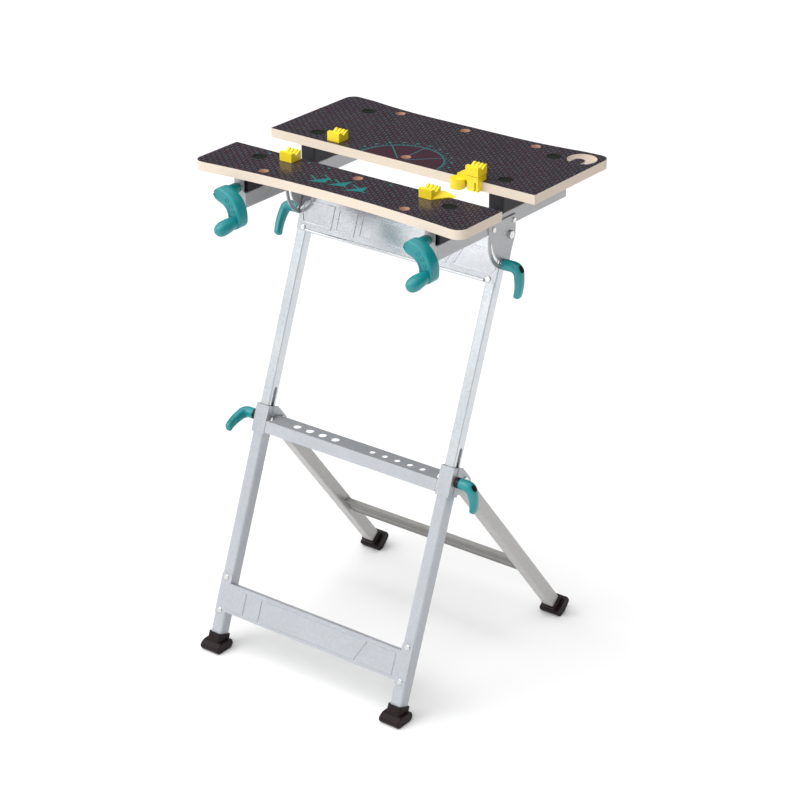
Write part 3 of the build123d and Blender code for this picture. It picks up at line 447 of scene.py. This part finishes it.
def crank(side_name, sx):
    hx, hz = sx * 221.0, 967.0
    kx, kz = hx + 34.0, hz - 46.0
    cx_, cz_ = (hx + kx) / 2 + 19.0, (hz + kz) / 2 + 14.5
    yb, yf = -240.0, -267.0

    def bez(t):
        p = Vector(((1 - t) ** 2 * hx + 2 * t * (1 - t) * cx_ + t * t * kx, 0, (1 - t) ** 2 * hz + 2 * t * (1 - t) * cz_ + t * t * kz))
        g = Vector((2 * (1 - t) * (cx_ - hx) + 2 * t * (kx - cx_), 0, 2 * (1 - t) * (cz_ - hz) + 2 * t * (kz - cz_))).normalized()
        return p, g
    rings = []

    def ring(p, g, a):
        nrm = Vector((-g.z, 0, g.x))
        rings.append([P(p.x + nrm.x * a * u, yb + (yf - yb) * v, p.z + nrm.z * a * u) for u, v in arm_shape])
    a0, a1 = 13.8, 14.4
    p, g = bez(0)
    for q in (0.985, 0.93, 0.82, 0.65, 0.45, 0.22):
        ring(p - g * a0 * q, g, a0 * sqrt(1 - q * q))
    for i in range(15):
        t_ = i / 14.0
        p, g = bez(t_)
        ring(p, g, a0 + (a1 - a0) * t_ + 0.4 * sin(pi * t_))
    for q in (0.22, 0.45, 0.65, 0.82, 0.93, 0.985):
        ring(p + g * a1 * q, g, a1 * sqrt(1 - q * q))
    shells = [rings]
    # grip knob, turned about its own axis
    prof = [(-262.0, 9.5), (-266.0, 11.2), (-272.0, 12.4), (-282.0, 13.6), (-292.0, 14.2), (-300.0, 13.9), (-306.0, 12.6),
            (-310.5, 10.2), (-313.5, 7.0), (-315.0, 3.5)]
    drop = -4.0
    shells.append([[P(kx + r * cos(2 * pi * i / 28), y, kz + drop * min(1.0, (-262.0 - y) / 45.0) + r * sin(2 * pi * i / 28))
                    for i in range(28)] for y, r in prof])
    # hub sleeve behind the arm
    shells.append([[P(hx + r * cos(2 * pi * i / 28), y, hz + r * sin(2 * pi * i / 28)) for i in range(28)]
                   for y, r in ((-242.0, 11.4), (-236.0, 10.6), (-216.0, 10.2), (-214.2, 9.4))])
    # round bosses in the hollow of the arm
    for t_, r in ((0.28, 4.6), (0.5, 4.2), (0.70, 3.6)):
        p, g = bez(t_)
        y0 = yb + (yf - yb) * 0.91
        shells.append([[P(p.x + q * cos(2 * pi * i / 20), y, p.z + q * sin(2 * pi * i / 20)) for i in range(20)]
                       for y, q in ((y0 + 0.5, r), (y0 - 0.9, r), (y0 - 1.2, r - 0.5), (y0 - 1.2, r - 1.2), (y0 - 0.3, r - 1.4))])
    return build(side_name + "_crank_visual", shells, m_teal, side_name + "_screw", (side_name + "_crank",))


crank("left", -1)
crank("right", 1)

th_ = atan(0.371)
tilt_hub = (-2.7317814922573316, 858.0623587163313)
height_hub = (-314.14 + 491.7 * sin(th_), 491.7 * cos(th_))


def lever(node, sgn, hub, delta, bore, x0, body):
    d = (sin(radians(delta)), -cos(radians(delta)))
    n = (-d[1], d[0])

    def at(x, l, w):
        """x outwards, l down the arm, w across it."""
        return P(sgn * x, hub[0] + d[0] * l + n[0] * w, hub[1] + d[1] * l + n[1] * w)
    m = 28
    rings = []

    def ring(x, l, ax, al, a, b, e):
        # (ax, al): unit in-plane normal of the path
        rings.append([at(x + ax * a * u, l + al * a * u, b * v) for u, v in superellipse(m, e)])
    for x, r in ((262.0, bore + 0.4), (x0, bore + 0.4), (x0, 10.2), (x0 + 0.8, 10.8), (x0 + 4.0, 11.0)):
        rings.append([at(x, r * u, r * v) for u, v in [(-q[0], q[1]) for q in superellipse(m, 2.0)]])
    rc = 12.0
    cx_, cl_ = 265.0, rc
    for i in range(9):
        ph = radians(90.0 * i / 8)
        k = i / 8.0
        ring(cx_ + rc * sin(ph), cl_ - rc * cos(ph), sin(ph), -cos(ph), 11.0 - 2.2 * k, 11.0 + 0.9 * sin(pi * k) - 0.2 * k, 2.0 + 0.7 * k)
    for i in range(1, 13):
        k = i / 12.0
        l = cl_ + 46.0 * k
        x = cx_ + rc + 1.2 * sin(pi * k) - 4.5 * k * k
        ring(x, l, 0.995, 0.1 * k, 8.8 - 2.2 * k, 10.8 - 2.6 * k + 0.8 * k ** 4, 2.7 + 0.5 * k)
    l, x = cl_ + 46.0, cx_ + rc - 4.5
    for q in (0.35, 0.62, 0.82, 0.94):
        c = sqrt(1 - q * q)
        ring(x - 0.6 * q, l + 5.5 * q, 0.995, 0.1, 6.6 * c, 8.9 * c, 3.2)
    o = build(node + "_visual", [rings], m_teal, body, (node,))
    # dark inlay on the outside of the knee
    ph = radians(58.0)
    px_, pl_ = cx_ + (rc + 10.0) * sin(ph), cl_ - (rc + 10.0) * cos(ph)
    nx_, nl_ = sin(ph), -cos(ph)
    tx_, tl_ = cos(ph), sin(ph)
    inlay = []
    for h, k in ((-2.0, 1.0), (0.25, 1.0), (0.55, 0.93), (0.7, 0.8), (0.45, 0.55)):
        inlay.append([at(px_ + nx_ * h + tx_ * 7.2 * k * u, pl_ + nl_ * h + tl_ * 7.2 * k * u, 5.0 * k * v)
                      for u, v in superellipse(24, 2.2)])
    build(node + "_inlay", [inlay], m_black, body)
    return o


lever("right_tilt_lever", 1, tilt_hub, 5.0, 3.05, 243.0, "right_tilt_clamp")
lever("left_tilt_lever", -1, tilt_hub, -34.0, 3.05, 243.0, "left_tilt_clamp")
lever("right_height_lever", 1, height_hub, 14.5, 4.05, 252.0, "right_height_clamp")
lever("left_height_lever", -1, height_hub, -77.0, 4.05, 252.0, "left_height_clamp")

# ------------------------------------------------------------------ camera, floor, light
az, el, roll = radians(36.83), radians(25.17), radians(0.19)
fwd = Vector((-sin(az) * cos(el), cos(az) * cos(el), -sin(el)))
right = Vector((cos(az), sin(az), 0.0))
up = right.cross(fwd)
r2 = cos(roll) * right + sin(roll) * up
u2 = -sin(roll) * right + cos(roll) * up
cam_data = bpy.data.cameras.new("camera")
cam_data.sensor_width = 36.0
cam_data.lens = 2440.741 / 800.0 * 36.0
cam_data.clip_end = 50.0
cam = bpy.data.objects.new("camera", cam_data)
cam.matrix_world = Matrix(((r2.x, u2.x, -fwd.x, 2.609066), (r2.y, u2.y, -fwd.y, -3.481358 + FY),
                           (r2.z, u2.z, -fwd.z, 2.554113 + FZ), (0, 0, 0, 1)))
bpy.context.scene.collection.objects.link(cam)
bpy.context.scene.camera = cam

floor_t = Tree("floor")
floor_t.put("Base Color", floor_t.ramp(floor_t.noise(floor_t.obj, 0.7, 2.0), [(0.3, (0.93, 0.93, 0.93)), (0.7, (0.95, 0.95, 0.95))]))
floor_t.put("Roughness", 0.9)
me = bpy.data.meshes.new("floor")
s = 14.0
me.from_pydata([(-s, -s, 0), (s, -s, 0), (s, s, 0), (-s, s, 0)], [], [(0, 1, 2, 3)])
floor = bpy.data.objects.new("floor", me)
floor.data.materials.append(floor_t.mat)
bpy.context.scene.collection.objects.link(floor)

world = bpy.data.worlds.new("studio")
bpy.context.scene.world = world
world.use_nodes = True
wn = world.node_tree
bg = wn.nodes["Background"]
bg.inputs[0].default_value = (1.0, 1.0, 1.0, 1.0)
# a dark screen behind the object, so that level faces seen at a slant don't wash out
wtc = wn.nodes.new("ShaderNodeTexCoord")
wsep = wn.nodes.new("ShaderNodeSeparateXYZ")
wn.links.new(wtc.outputs["Generated"], wsep.inputs[0])
back = wn.nodes.new("ShaderNodeMapRange")
back.interpolation_type = "SMOOTHSTEP"
wn.links.new(wsep.outputs[1], back.inputs[0])
back.inputs[1].default_value, back.inputs[2].default_value = -0.05, 0.45
low = wn.nodes.new("ShaderNodeMapRange")
low.interpolation_type = "SMOOTHSTEP"
wn.links.new(wsep.outputs[2], low.inputs[0])
low.inputs[1].default_value, low.inputs[2].default_value = 0.85, 0.60
both = wn.nodes.new("ShaderNodeMath")
both.operation = "MULTIPLY"
wn.links.new(back.outputs[0], both.inputs[0])
wn.links.new(low.outputs[0], both.inputs[1])
level = wn.nodes.new("ShaderNodeMapRange")
wn.links.new(both.outputs[0], level.inputs[0])
level.inputs[3].default_value, level.inputs[4].default_value = 1.0, 0.12
# and a greyer one on the right, so that the side faces read darker than the front
side_ = wn.nodes.new("ShaderNodeMapRange")
side_.interpolation_type = "SMOOTHSTEP"
wn.links.new(wsep.outputs[0], side_.inputs[0])
side_.inputs[1].default_value, side_.inputs[2].default_value = 0.25, 0.85
side_.inputs[3].default_value, side_.inputs[4].default_value = 1.0, 0.38
total = wn.nodes.new("ShaderNodeMath")
total.operation = "MULTIPLY"
wn.links.new(level.outputs[0], total.inputs[0])
wn.links.new(side_.outputs[0], total.inputs[1])
wn.links.new(total.outputs[0], bg.inputs[1])


def area(name, loc, target, size, power, color=(1, 1, 1)):
    d = bpy.data.lights.new(name, "AREA")
    d.shape = "RECTANGLE"
    d.size, d.size_y = size
    d.energy = power
    d.color = color
    o = bpy.data.objects.new(name, d)
    o.location = loc
    o.rotation_euler = (Vector(target) - Vector(loc)).to_track_quat("-Z", "Y").to_euler()
    bpy.context.scene.collection.objects.link(o)
    return o


area("key", (-1.6, -2.8, 2.8), (0, 0, 0.6), (2.2, 2.2), 34)
area("fill", (3.0, -1.2, 1.6), (0, 0, 0.6), (2.0, 2.0), 3)
sun = bpy.data.lights.new("overhead", "SUN")
sun.energy = 1.55
sun.angle = radians(80)
sun_o = bpy.data.objects.new("overhead", sun)
sun_o.rotation_euler = Vector((0.25, 0.35, -1.0)).to_track_quat("-Z", "Y").to_euler()
bpy.context.scene.collection.objects.link(sun_o)
bpy.context.scene.view_settings.view_transform = "Standard"
